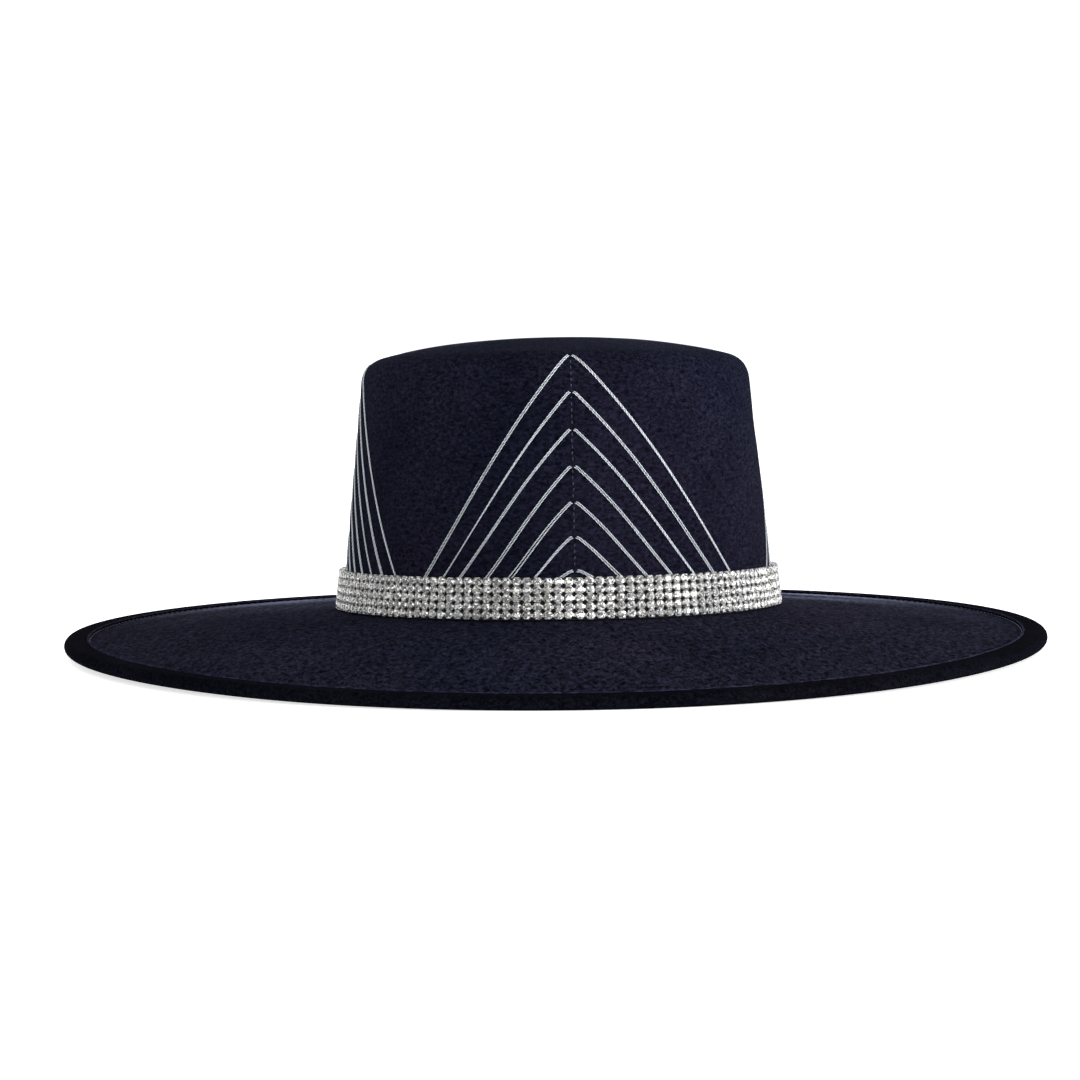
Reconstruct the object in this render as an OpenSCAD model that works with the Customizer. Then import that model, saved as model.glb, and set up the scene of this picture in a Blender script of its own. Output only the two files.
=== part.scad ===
// Wide-brimmed, flat-crowned sombrero in faux suede with a rhinestone hatband and silver thread chevrons.
// Millimetres. Front towards -Y, wearer's left and right along X, up +Z. The hem rests on z = 0.

/* [Head and crown] */
// Round the inside of the sweatband, the hat size
head_circ = 570; // [520:5:620]
// How much longer the head opening is than it is wide, as a difference of the half sizes
head_long = 13.8; // [6:0.2:18]
// Height of the crown top above the brim where the two meet
crown_h = 107.4; // [70:0.5:140]
// How far the crown wall leans in between the brim and the top edge
crown_lean = 9.8; // [0:0.2:24]
// Rise of the domed top from its edge to its middle
dome_rise = 8.6; // [2:0.2:20]
// Length over which the top edge is softened, each way from the corner
edge_soft = 8; // [3:0.5:14]
// Thickness of the suede cover of the crown
cover_t = 0.9; // [0.5:0.1:2]
// Thickness of the moulded stiffener
stiff_t = 1.2; // [0.6:0.1:3]
// Thickness of the crown lining
lining_t = 0.3; // [0.2:0.1:1]

/* [Sweatband] */
// Height of the sweatband above the brim's top
sweat_h = 30; // [20:1:45]
// Thickness of the sweatband
sweat_t = 0.8; // [0.5:0.1:2]

/* [Brim] */
// Width of the brim from the crown to the outside of the hem
brim_w = 109.6; // [50:0.1:160]
// How far the brim drops between the crown and the hem
brim_drop = 11.9; // [0:0.1:30]
// How the drop gathers outwards: 1 is a straight slope, more keeps it level near the crown
brim_sweep = 1.25; // [1:0.05:2]
// Thickness of the suede on top of the brim
brim_top_t = 0.8; // [0.4:0.1:2]
// Thickness of the stiff core of the brim
brim_core_t = 1.4; // [0.8:0.1:4]
// Thickness of the suede under the brim
brim_under_t = 0.8; // [0.4:0.1:2]

/* [Hem] */
// Width of the strip that binds the edge
hem_w = 9.8; // [5:0.1:20]
// Thickness of the strip
hem_t = 0.8; // [0.4:0.1:1.5]
// Diameter of the wire rolled into the edge
wire_d = 2.2; // [1:0.1:2.8]
// Distance from one hem stitch to the next
hem_stitch = 4; // [3:0.5:8]

/* [Hatband] */
// Diameter of a metal setting
cup_d = 3.02; // [2.4:0.02:4]
// Gap between one row and the next
row_gap = 0.1; // [0.06:0.02:1]
// Least gap between one column and the next
col_gap = 0.82; // [0.3:0.02:2]
// Depth of a setting
cup_h = 1.45; // [1:0.05:2.5]
// Wall and floor of a setting
cup_t = 0.18; // [0.1:0.02:0.4]
// Height of a stone above the rim of its setting
stone_proud = 0.95; // [0.3:0.05:1.5]
// Thickness of the ribbon behind the settings
ribbon_t = 0.6; // [0.3:0.1:1.5]

/* [Thread chevrons] */
// How far the point of the largest chevron reaches past the corner of the top edge
point_over = 0.8; // [-20:0.1:6]
// Height of the point of the smallest chevron above the hatband
point_first = 2.6; // [1.5:0.1:8]
// Half width of the smallest chevron at its feet
foot_first = 6.3; // [3:0.1:8]
// How far the points between the first and the last sit below even steps, at most
point_sag = 1.7; // [0:0.1:4]
// Width of a group at its feet, as a share of the way round the crown, %
group_w = 22; // [8:0.1:22]
// Middles of the groups at the right, back and left, as shares of the way round from the front, %
right_at = 29.9; // [24:0.1:30]
back_at = 52.8; // [50:0.1:53]
left_at = 75.7; // [75:0.1:77]
// Width of one strand of the double thread
strand_w = 0.52; // [0.3:0.02:0.8]
// Thickness of a strand
strand_t = 0.4; // [0.2:0.02:0.6]
// Distance between the two strands, middle to middle
strand_gap = 0.7; // [0.6:0.02:1.4]

/* [Hidden] */
$fn = 96;
stone_rows = 5;                              // each row is a piece of its own
chevrons = 7;                                // in each of the four groups
ply = 0.1;                                   // air between one layer and the next
clear = 0.2;                                 // air round small pieces
stitch_w = 0.45;                             // width and thickness of a stitch
stitch_t = 0.3;

// The ovals have four arcs that meet at 45 degrees, so a constant width stays exact all the way round.
wall_in = cover_t + ply + stiff_t + ply + lining_t + ply + sweat_t;
crown_a = (head_circ / PI - head_long) / 2 + wall_in;
crown_b = crown_a + head_long;
arc_k = head_long / (sqrt(2) - 1) * sin(45);
r_side = crown_a + arc_k;
r_end = crown_b - arc_k;
end_run = r_end * PI / 4;                    // from the middle of the front to the first junction
side_run = r_side * PI / 2;                  // from one junction to the next along a side
round_run = PI * (crown_a + crown_b);

// Heights of the brim layers at the hem, from the rest plane up
under_z = hem_t + ply;
core_z = under_z + brim_under_t + ply;
top_z = core_z + brim_core_t + ply;
hem_h = top_z + brim_top_t + ply + hem_t;
base_z = top_z + brim_top_t + brim_drop;     // top of the brim where the crown stands
stack_h = top_z + brim_top_t - under_z;
ply_end = brim_w - hem_t - ply - wire_d - clear;
level_w = brim_w - hem_w - 1;                // the brim is level from here out
lean = crown_lean / (crown_h - dome_rise);
hole_d = cover_t + ply + stiff_t;            // the brim layers reach this far under the crown wall
brim_steps = 8;

// The hatband's rows and columns, counted along the crown and round it
row_pitch = cup_d + row_gap;
stone_cols = 2 * floor(round_run / (cup_d + col_gap) / 2);
band_low = clear;
band_top = band_low + stone_rows * row_pitch + ply;
ribbon_out = ply + ribbon_t;

// Crown outline as points of distance in from the oval and height above the brim
flat_d = r_end - 8;
top_edge = [crown_lean, crown_h - dome_rise];
wall_dir = top_edge / norm(top_edge);
function dome(d) = crown_h - dome_rise * pow((flat_d - d) / (flat_d - top_edge[0]), 2);
soft_a = top_edge - wall_dir * edge_soft;
soft_b = [top_edge[0] + edge_soft, dome(top_edge[0] + edge_soft)];
function soft(t) = soft_a * pow(1 - t, 2) + top_edge * 2 * t * (1 - t) + soft_b * pow(t, 2);
outline = concat(
    [[0, 0], soft_a],
    [for (i = [1:7]) soft(i / 8)],
    [for (i = [0:8]) let (d = soft_b[0] + (flat_d - soft_b[0]) * i / 8) [d, dome(d)]]);
last = len(outline) - 1;

// The outline moved a distance o into the crown, square to itself
function across(i) = let (v = outline[i + 1] - outline[i - 1]) [v[1], -v[0]] / norm(v);
function inward(i, o) = outline[i] + o * (i == 0 ? [1, 0] : i == last ? [0, -1] : across(i));

// Distance travelled up the outline at each of its points, and the place at a distance m
function travelled(i) = i == 0 ? 0 : travelled(i - 1) + norm(outline[i] - outline[i - 1]);
miles = [for (i = [0:last]) travelled(i)];
in_at = [for (i = [0:last]) [miles[i], outline[i][0]]];
up_at = [for (i = [0:last]) [miles[i], outline[i][1]]];
function place(m) = [lookup(m, in_at), lookup(m, up_at)];
function lean_at(m) = let (v = place(m + 0.5) - place(m - 0.5)) atan2(v[0], v[1]);

// Angle round the crown, 0 at the front and growing towards +X, for a distance s along the reference oval
function turned_to(s) = let (u = abs(s) > round_run / 2 ? round_run - abs(s) : abs(s))
    let (way = abs(s) > round_run / 2 ? -sign(s) : sign(s))
    way * (u < end_run ? u / r_end * 180 / PI
        : u < end_run + side_run ? 45 + (u - end_run) / r_side * 180 / PI
        : 135 + (u - end_run - side_run) / r_end * 180 / PI);
// Centre and radius of the arc that holds the angle t
function arc_mid(t) = abs(t) < 45 ? [0, -arc_k] : abs(t) > 135 ? [0, arc_k] : [-sign(t) * arc_k, 0];
function arc_r(t) = abs(t) < 45 || abs(t) > 135 ? r_end : r_side;
function facing(t) = [sin(t), -cos(t)];
// Point on the crown at distance s round, distance m up the outline, raised h off the cover
function on_crown(s, m, h) = let (t = turned_to(s), p = place(m), a = lean_at(m))
    let (out = arc_mid(t) + facing(t) * (arc_r(t) - p[0] + h * cos(a)))
    [out[0], out[1], base_z + p[1] + h * sin(a)];

// Sweeps a section round the oval. The section is drawn $r beyond its own distance outside the oval.
module turned() {
    for (side = [0, 180]) rotate([0, 0, side]) {
        translate([-arc_k, 0, 0]) rotate([0, 0, -45]) {
            $r = r_side;
            rotate_extrude(angle = 90) children();
        }
        translate([0, arc_k, 0]) rotate([0, 0, 45]) {
            $r = r_end;
            rotate_extrude(angle = 90) children();
        }
    }
}

// Lays its children at distance s round and m up the outline, x along the crown, y up it, z outwards
module laid(s, m, h = 0) {
    t = turned_to(s);
    translate(on_crown(s, m, h)) rotate([0, 0, t]) rotate([90 - lean_at(m), 0, 0]) children();
}

/* Crown */

module crown_ply(from, to) {
    turned() polygon(concat(
        [for (i = [0:last]) let (p = inward(i, from)) [$r - p[0], base_z + ply + p[1]]],
        [[0, base_z + ply + crown_h - from], [0, base_z + ply + crown_h - to]],
        [for (i = [last:-1:0]) let (p = inward(i, to)) [$r - p[0], base_z + ply + p[1]]]));
}

module crown_cover() {
    color("midnightblue") crown_ply(0, cover_t);
}

module crown_stiffener() {
    color("tan") crown_ply(cover_t + ply, cover_t + ply + stiff_t);
}

module crown_lining() {
    o = cover_t + ply + stiff_t + ply;
    color("dimgray") crown_ply(o, o + lining_t);
}

// Follows the crown wall inside the lining and reaches down through the brim to its underside
module sweatband() {
    o = wall_in - sweat_t;
    low = -stack_h + ply;
    color("black") turned() polygon([
        for (c = [[o, low], [o + sweat_t, low], [o + sweat_t, sweat_h], [o, sweat_h]])
            [$r - c[0] - lean * c[1], base_z + c[1]]]);
}

module sweatband_stitching() {
    o = wall_in + ply / 2;
    n = round(round_run / 4);
    up = 3;
    color("silver") for (i = [0:n - 1]) {
        s = (i + 0.5) / n * round_run - round_run / 2;
        t = turned_to(s);
        r = arc_r(t) - o - lean * up - stitch_t;
        p = arc_mid(t) + facing(t) * r;
        translate([p[0], p[1], base_z + up]) rotate([0, 0, t])
            translate([-1, -stitch_t / 2, 0]) cube([2, stitch_t, stitch_w]);
    }
}

// Tiny stitches down the middle of each group of threads, left out where a thread crosses
module crown_centre_stitches() {
    gap = 2.3;
    from = band_top + 5;
    n = floor((apex(1) - from) / gap);
    color("midnightblue") for (q = [0:3]) for (i = [0:n]) {
        m = from + i * gap;
        near = min([for (c = [1:chevrons]) abs(apex(c) - m)]);
        if (near > 1.8) laid(group_at(q), m, clear) translate([-stitch_w / 2, -0.6, 0])
            cube([stitch_w, 1.2, stitch_t]);
    }
}

/* Brim */

// Height of the brim above its level edge, at distance d out from the crown
function drop_at(d) = brim_drop * (1 - pow(max(0, min(1, d / level_w)), brim_sweep));
reach = concat([-hole_d], [for (i = [0:brim_steps]) level_w * i / brim_steps], [ply_end]);

module brim_ply(z, t) {
    turned() polygon(concat(
        [for (d = reach) [$r + d, z + drop_at(d)]],
        [for (i = [len(reach) - 1:-1:0]) [$r + reach[i], z + t + drop_at(reach[i])]]));
}

module brim_top_cover() {
    color("midnightblue") brim_ply(top_z, brim_top_t);
}

module brim_core() {
    color("tan") brim_ply(core_z, brim_core_t);
}

module brim_underside_cover() {
    color("darkslateblue") brim_ply(under_z, brim_under_t);
}

// Strip folded round the edge, open towards the crown and round outside
module brim_hem_binding() {
    color("midnightblue") turned() difference() {
        union() {
            translate([$r + brim_w - hem_w, 0]) square([hem_w - hem_h / 2, hem_h]);
            translate([$r + brim_w - hem_h / 2, hem_h / 2]) circle(d = hem_h);
        }
        union() {
            translate([$r + brim_w - hem_w - 1, hem_t]) square([hem_w + 1 - hem_h / 2, hem_h - 2 * hem_t]);
            translate([$r + brim_w - hem_h / 2, hem_h / 2]) circle(d = hem_h - 2 * hem_t);
        }
    }
}

module brim_edge_wire() {
    color("silver") turned()
        translate([$r + brim_w - hem_t - ply - wire_d / 2, hem_h / 2]) circle(d = wire_d);
}

// Stitches in the groove where the strip ends, on top of the brim
module brim_hem_stitching() {
    d = brim_w - hem_w - stitch_w - ply;
    run = round_run + 2 * PI * d;
    n = round(run / hem_stitch);
    color("slategray") for (i = [0:n - 1]) {
        t = outer_turn((i + 0.5) / n * run - run / 2, d);
        p = arc_mid(t) + facing(t) * (arc_r(t) + d);
        translate([p[0], p[1], top_z + brim_top_t + ply]) rotate([0, 0, t])
            translate([-1.1, 0, 0]) mirror([0, 1, 0]) cube([2.2, stitch_w, stitch_t]);
    }
}
// As turned_to, for a distance s along the oval that runs d outside the reference one
function outer_turn(s, d) = let (e = (r_end + d) * PI / 4, w = (r_side + d) * PI / 2, u = abs(s))
    sign(s) * (u < e ? u / (r_end + d) : u < e + w ? PI / 4 + (u - e) / (r_side + d)
        : PI * 3 / 4 + (u - e - w) / (r_end + d)) * 180 / PI;

/* Hatband */

module hatband_ribbon() {
    color("black") turned() polygon([
        for (c = [[ply, band_low], [ribbon_out, band_low], [ribbon_out, band_top], [ply, band_top]])
            [$r + c[0] - lean * c[1], base_z + ply + c[1]]]);
}

function row_mid(row) = band_low + (row - 0.5) * row_pitch + ply / 2;

// Round metal dish that holds one stone, row 1 next to the brim
module cup_row(row) {
    color("silver") for (i = [0:stone_cols - 1])
        laid(i / stone_cols * round_run - round_run / 2, row_mid(row), ribbon_out + ply)
            rotate_extrude() polygon([[0, 0], [cup_d / 2, 0], [cup_d / 2, cup_h],
                [cup_d / 2 - cup_t, cup_h], [cup_d / 2 - cup_t, cup_t], [0, cup_t]]);
}

// Cut stone with a flat back, a narrow girdle and a bevelled crown round its table
module stone_row(row) {
    r = cup_d / 2 - cup_t - ply / 2;
    rim = cup_h - cup_t - ply;
    color("white") for (i = [0:stone_cols - 1])
        laid(i / stone_cols * round_run - round_run / 2, row_mid(row), ribbon_out + ply + cup_t + ply)
            rotate_extrude() polygon([[0, 0], [r * 0.55, 0], [r, rim * 0.8], [r, rim],
                [r * 0.56, rim + stone_proud], [0, rim + stone_proud]]);
}

module hatband_cups_row_1() { cup_row(1); }
module hatband_cups_row_2() { cup_row(2); }
module hatband_cups_row_3() { cup_row(3); }
module hatband_cups_row_4() { cup_row(4); }
module hatband_cups_row_5() { cup_row(5); }

module hatband_stones_row_1() { stone_row(1); }
module hatband_stones_row_2() { stone_row(2); }
module hatband_stones_row_3() { stone_row(3); }
module hatband_stones_row_4() { stone_row(4); }
module hatband_stones_row_5() { stone_row(5); }

/* Thread chevrons */

// Group 0 is at the front, 1 towards +X, 2 at the back, 3 towards -X; chevron 1 is the largest
function group_at(q) = round_run * [0, right_at, back_at - 100, left_at - 100][q] / 100;
function share(c) = (chevrons - c) / (chevrons - 1);
point_low = band_top + point_first;
point_high = norm(top_edge) + point_over;
foot_last = round_run * group_w / 200;
function apex(c) = point_low + (point_high - point_low) * share(c) - 4 * point_sag * share(c) * (1 - share(c));
function foot(c) = foot_first + (foot_last - foot_first) * share(c);
// A strand ends square to itself, so its foot stops high enough for its lower corner to clear the ribbon
function foot_up(c) = band_top + clear
    + (strand_gap + strand_w) / 2 * foot(c) / norm([foot(c), apex(c) - band_top]);

// One strand from the point down to a foot. way is -1 or 1 for the arm, off its distance from the middle
// of the double thread.
module strand(q, c, way, off) {
    rise = apex(c) - foot_up(c);
    arm = norm([foot(c), rise]);
    n = max(2, ceil(arm / 7));
    along = [way * foot(c), -rise] / arm;
    side = [along[1], -along[0]] * way;
    start = [way * (strand_gap / 2 + strand_w / 2 + 0.3), 0];
    rings = [for (i = [0:n]) let (u = pow(i / n, 1.5))
        let (p = start + [way * (foot(c) - abs(start[0])) * u, -rise * u])
        for (e = [[-1, 0], [1, 0], [1, 1], [-1, 1]])
            let (w = p + side * (off + e[0] * strand_w / 2))
            on_crown(group_at(q) + w[0], apex(c) + w[1], clear + e[1] * strand_t)];
    caps = [[0, 1, 2, 3], [4 * n + 3, 4 * n + 2, 4 * n + 1, 4 * n]];
    sides = [for (i = [0:n - 1]) for (e = [0:3]) let (a = 4 * i + e, b = 4 * i + (e + 1) % 4)
        each [[a, a + 4, b], [b, a + 4, b + 4]]];
    faces = concat(caps, sides);
    polyhedron(rings, way > 0 ? faces : [for (f = faces) [for (i = [len(f) - 1:-1:0]) f[i]]]);
}

module chevron(q, c) {
    color("lightgray") for (way = [-1, 1]) for (off = [-1, 1])
        strand(q, c, way, off * strand_gap / 2);
}

module thread_front_1() { chevron(0, 1); }
module thread_front_2() { chevron(0, 2); }
module thread_front_3() { chevron(0, 3); }
module thread_front_4() { chevron(0, 4); }
module thread_front_5() { chevron(0, 5); }
module thread_front_6() { chevron(0, 6); }
module thread_front_7() { chevron(0, 7); }

module thread_right_1() { chevron(1, 1); }
module thread_right_2() { chevron(1, 2); }
module thread_right_3() { chevron(1, 3); }
module thread_right_4() { chevron(1, 4); }
module thread_right_5() { chevron(1, 5); }
module thread_right_6() { chevron(1, 6); }
module thread_right_7() { chevron(1, 7); }

module thread_back_1() { chevron(2, 1); }
module thread_back_2() { chevron(2, 2); }
module thread_back_3() { chevron(2, 3); }
module thread_back_4() { chevron(2, 4); }
module thread_back_5() { chevron(2, 5); }
module thread_back_6() { chevron(2, 6); }
module thread_back_7() { chevron(2, 7); }

module thread_left_1() { chevron(3, 1); }
module thread_left_2() { chevron(3, 2); }
module thread_left_3() { chevron(3, 3); }
module thread_left_4() { chevron(3, 4); }
module thread_left_5() { chevron(3, 5); }
module thread_left_6() { chevron(3, 6); }
module thread_left_7() { chevron(3, 7); }

crown_cover();
crown_stiffener();
crown_lining();
crown_centre_stitches();
sweatband();
sweatband_stitching();
brim_top_cover();
brim_core();
brim_underside_cover();
brim_hem_binding();
brim_edge_wire();
brim_hem_stitching();
hatband_ribbon();
hatband_cups_row_1();
hatband_cups_row_2();
hatband_cups_row_3();
hatband_cups_row_4();
hatband_cups_row_5();
hatband_stones_row_1();
hatband_stones_row_2();
hatband_stones_row_3();
hatband_stones_row_4();
hatband_stones_row_5();
thread_front_1();
thread_front_2();
thread_front_3();
thread_front_4();
thread_front_5();
thread_front_6();
thread_front_7();
thread_right_1();
thread_right_2();
thread_right_3();
thread_right_4();
thread_right_5();
thread_right_6();
thread_right_7();
thread_back_1();
thread_back_2();
thread_back_3();
thread_back_4();
thread_back_5();
thread_back_6();
thread_back_7();
thread_left_1();
thread_left_2();
thread_left_3();
thread_left_4();
thread_left_5();
thread_left_6();
thread_left_7();
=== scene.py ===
"""Looks of a wide-brimmed suede sombrero with a rhinestone hatband and silver thread chevrons.

Everything is in metres in the row frame: front towards -Y, up +Z, the hem on z = 0. All main sizes come from
the CAD nodes' boxes. The hem lies nearly in one plane, and the crown leans back a little over it.
"""

import math

import bpy
import numpy as np
from mathutils import Matrix, Vector


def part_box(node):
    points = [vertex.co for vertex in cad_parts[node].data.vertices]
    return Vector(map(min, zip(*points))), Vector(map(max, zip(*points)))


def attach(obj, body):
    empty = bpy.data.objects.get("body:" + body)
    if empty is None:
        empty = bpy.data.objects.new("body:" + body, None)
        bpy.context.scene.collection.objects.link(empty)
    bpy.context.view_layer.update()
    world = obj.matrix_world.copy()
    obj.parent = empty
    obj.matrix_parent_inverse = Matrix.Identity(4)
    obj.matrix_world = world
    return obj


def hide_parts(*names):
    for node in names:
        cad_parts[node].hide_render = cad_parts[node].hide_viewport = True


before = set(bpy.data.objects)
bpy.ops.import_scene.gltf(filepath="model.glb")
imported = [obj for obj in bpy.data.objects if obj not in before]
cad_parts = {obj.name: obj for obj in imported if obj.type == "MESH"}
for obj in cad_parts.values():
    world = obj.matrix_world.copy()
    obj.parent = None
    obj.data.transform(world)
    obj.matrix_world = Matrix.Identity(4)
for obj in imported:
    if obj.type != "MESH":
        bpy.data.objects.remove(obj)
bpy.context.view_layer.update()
MM = 0.001
SEED = 11
rng = np.random.default_rng(SEED)

# ---------------------------------------------------------------- sizes from the CAD nodes

crown_low, crown_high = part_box("crown_cover")
_, brim_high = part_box("brim_top_cover")
_, hem_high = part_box("brim_hem_binding")
band_low, band_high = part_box("hatband_ribbon")

PLY = 0.1 * MM                                   # air between layers, as in the CAD
CROWN_A = crown_high.x                           # half width and half length of the crown at its foot
CROWN_B = crown_high.y
# distance of the arcs' centres from the middle, and the arcs' radii at the sides and at front and back
ARC_K = (CROWN_B - CROWN_A) / (math.sqrt(2) - 1) * math.sin(math.pi / 4)
R_SIDE = CROWN_A + ARC_K
R_END = CROWN_B - ARC_K
RUN = math.pi * (CROWN_A + CROWN_B)              # once round the foot of the crown
BASE = brim_high.z                               # top of the brim where the crown stands
CROWN_H = crown_high.z - crown_low.z
HEM_OUT = hem_high.x - CROWN_A                   # width of the brim, hem included
HEM_H = hem_high.z
BAND_TOP = band_high.z - BASE - PLY

# Sizes that no box gives
CROWN_LEAN = 9.8 * MM
DOME_RISE = 8.6 * MM
EDGE_SOFT = 8.0 * MM
COVER_T, STIFF_T, LINING_T, SWEAT_T = 0.9 * MM, 1.2 * MM, 0.3 * MM, 0.8 * MM
BRIM_T, CORE_T = 0.8 * MM, 1.4 * MM
HEM_W, HEM_T, WIRE_D = 9.8 * MM, 0.8 * MM, 2.2 * MM
BRIM_SWEEP = 1.25
ROWS, CHEVRONS = 5, 7
CUP_D, ROW_GAP, COL_GAP = 3.02 * MM, 0.1 * MM, 0.82 * MM
CUP_H, CUP_T, STONE_PROUD, RIBBON_T = 1.45 * MM, 0.18 * MM, 0.95 * MM, 0.6 * MM
POINT_OVER, POINT_FIRST, POINT_SAG, FOOT_FIRST = 0.8 * MM, 2.6 * MM, 1.7 * MM, 6.3 * MM
GROUP_W = 0.22                                   # of the way round the crown
GROUPS_AT = {"front": 0.0, "right": 0.299, "back": 0.528, "left": 0.757}
STRAND_W, STRAND_GAP = 0.52 * MM, 0.66 * MM
STITCH_PITCH = 4 * MM                            # of the sweatband's and the hem's stitches

# How the made-up hat differs from the bare plan
LEAN_BACK = math.radians(2.0)                    # the crown leans back over the plane of the hem
OFF_MIDDLE = 1.7 * MM                            # the crown stands a little towards +X on the brim
FRONT_OFF = -1.3 * MM                            # how far the front group sits off the middle of the crown
REACH = {"front": (0.97, 1.11), "left": (1.0, 0.95)}     # how far the arms reach, hand-laid, left and right
STRAY = {("front", 3, -1): 1.05}                 # arms laid off their even place, as a share of their reach
BOW = 0.045                                      # how far an arm bows outwards, as a share of its reach
BOW_PEAK = 27 / 4                                # brings the highest point of u (1 - u)^2 to 1
SIDE_LIFT = 2.6 * MM                             # the brim rises a little at the sides
BRIM_WAVE, SIDE_WAVE, TOP_WAVE = 0.35 * MM, 0.35 * MM, 0.25 * MM     # unevenness of brim, crown side and top
FADE_W = 0.02                                    # over which the crown's unevenness sets in
EDGE_TOP = HEM_H - HEM_T - PLY                   # top of the brim skin at the hem
LEVEL_W = HEM_OUT - HEM_W - 1 * MM               # where the brim has come down to the level of its edge

# ---------------------------------------------------------------- the oval and the crown's outline


def turned_to(s):
    """Angle from the front, towards +X, at a distance s round the foot of the crown."""
    s = (np.asarray(s, float) + RUN / 2) % RUN - RUN / 2
    u, end, side = np.abs(s), R_END * math.pi / 4, R_SIDE * math.pi / 2
    t = np.where(u < end, u / R_END,
                 np.where(u < end + side, math.pi / 4 + (u - end) / R_SIDE,
                          math.pi * 3 / 4 + (u - end - side) / R_END))
    return np.sign(s) * t


def oval(t, d):
    """Point at angle t on the oval that runs d outside the foot of the crown."""
    t = np.asarray(t, float)
    near_end = np.abs(np.cos(t)) > math.cos(math.pi / 4)
    r = np.where(near_end, R_END, R_SIDE) + d
    x = np.where(near_end, 0, -np.sign(np.sin(t)) * ARC_K) + np.sin(t) * r
    y = np.where(near_end, -np.sign(np.cos(t)) * ARC_K, 0) - np.cos(t) * r
    return x, y


WALL_STEPS = 40
FLAT_D = R_END - 8 * MM                          # distance in at which the dome is flat
EDGE = np.array([CROWN_LEAN, CROWN_H - DOME_RISE])
WALL = EDGE / np.linalg.norm(EDGE)


def dome(d):
    return CROWN_H - DOME_RISE * ((FLAT_D - d) / (FLAT_D - EDGE[0])) ** 2


def make_outline():
    """The crown's side and top as (distance in, height), and how far along it each point lies."""
    a = EDGE - WALL * EDGE_SOFT
    b = np.array([EDGE[0] + EDGE_SOFT, dome(EDGE[0] + EDGE_SOFT)])
    wall = [a * i / WALL_STEPS for i in range(WALL_STEPS + 1)]
    soft = [a * (1 - t) ** 2 + EDGE * 2 * t * (1 - t) + b * t * t for t in np.linspace(0, 1, 17)[1:]]
    top = [np.array([d, dome(d)]) for d in np.linspace(b[0], FLAT_D, 31)[1:]]
    pts = np.array(wall + soft + top)
    miles = np.concatenate([[0], np.cumsum(np.linalg.norm(np.diff(pts, axis=0), axis=1))])
    return pts, miles


OUTLINE, MILES = make_outline()
SLOPES = np.gradient(OUTLINE, axis=0)
SLOPES /= np.linalg.norm(SLOPES, axis=1)[:, None]
INTO = np.stack([SLOPES[:, 1], -SLOPES[:, 0]], 1)      # square to the outline, into the crown
SHOULDER = MILES[WALL_STEPS + 2]                 # how far up the outline the side turns into the top


def lean_back(p):
    """Leans a point of the crown back about the crown's foot."""
    x, y, z = p[..., 0], p[..., 1], p[..., 2] - BASE
    c, s = math.cos(LEAN_BACK), math.sin(LEAN_BACK)
    return np.stack([x + OFF_MIDDLE, y * c + z * s, BASE + z * c - y * s], -1)


def on_crown(s, m, h):
    """Place and axes (along, up, out) on the crown at distance s round, m up the outline and h off it."""
    s, m, h = np.broadcast_arrays(np.asarray(s, float), m, h)
    t = turned_to(s)
    d, z = np.interp(m, MILES, OUTLINE[:, 0]), np.interp(m, MILES, OUTLINE[:, 1])
    rise = np.stack([np.interp(m, MILES, SLOPES[:, 0]), np.interp(m, MILES, SLOPES[:, 1])], -1)
    rise /= np.linalg.norm(rise, axis=-1)[..., None]
    x, y = oval(t, -d)
    face = np.stack([np.sin(t), -np.cos(t), 0 * t], -1)
    lift = np.array([0, 0, 1.0])
    out = face * rise[..., 1:2] + lift * rise[..., 0:1]
    up = -face * rise[..., 0:1] + lift * rise[..., 1:2]
    along = np.stack([np.cos(t), np.sin(t), 0 * t], -1)
    p = np.stack([x, y, BASE + PLY + z], -1) + out * h[..., None]
    origin = lean_back(np.zeros(3))

    def turn(v):
        return lean_back(v) - origin

    return lean_back(p), turn(along), turn(up), turn(out)


def wave(x, y, size, count=6, seed=0):
    """Smooth random height between about -1 and 1, with features of about the given size."""
    r = np.random.default_rng(SEED + seed)
    total = 0
    for _ in range(count):
        a, f, ph = r.uniform(0, 2 * math.pi), r.uniform(0.6, 1.6) * 2 * math.pi / size, r.uniform(0, 6.28)
        total = total + np.sin((x * math.cos(a) + y * math.sin(a)) * f + ph)
    return total / count


def brim_surface(t, d, h):
    """Point h above the top of the brim at angle t, d out from the crown."""
    x, y = oval(t, d)
    _, y0 = oval(t, np.minimum(d, 0))
    inner = BASE - y0 * math.sin(LEAN_BACK)
    edge = EDGE_TOP + SIDE_LIFT * np.sin(t) ** 2
    u = np.clip(d / LEVEL_W, 0, 1)
    z = edge + (inner - edge) * (1 - u ** BRIM_SWEEP)
    z = z + BRIM_WAVE * wave(x, y, 0.09, seed=3) * np.clip(u * 3, 0, 1) * np.clip((1 - u) * 4, 0, 1)
    return np.stack([x + OFF_MIDDLE * (1 - u), y, z + h], -1)


# ---------------------------------------------------------------- meshes


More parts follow.
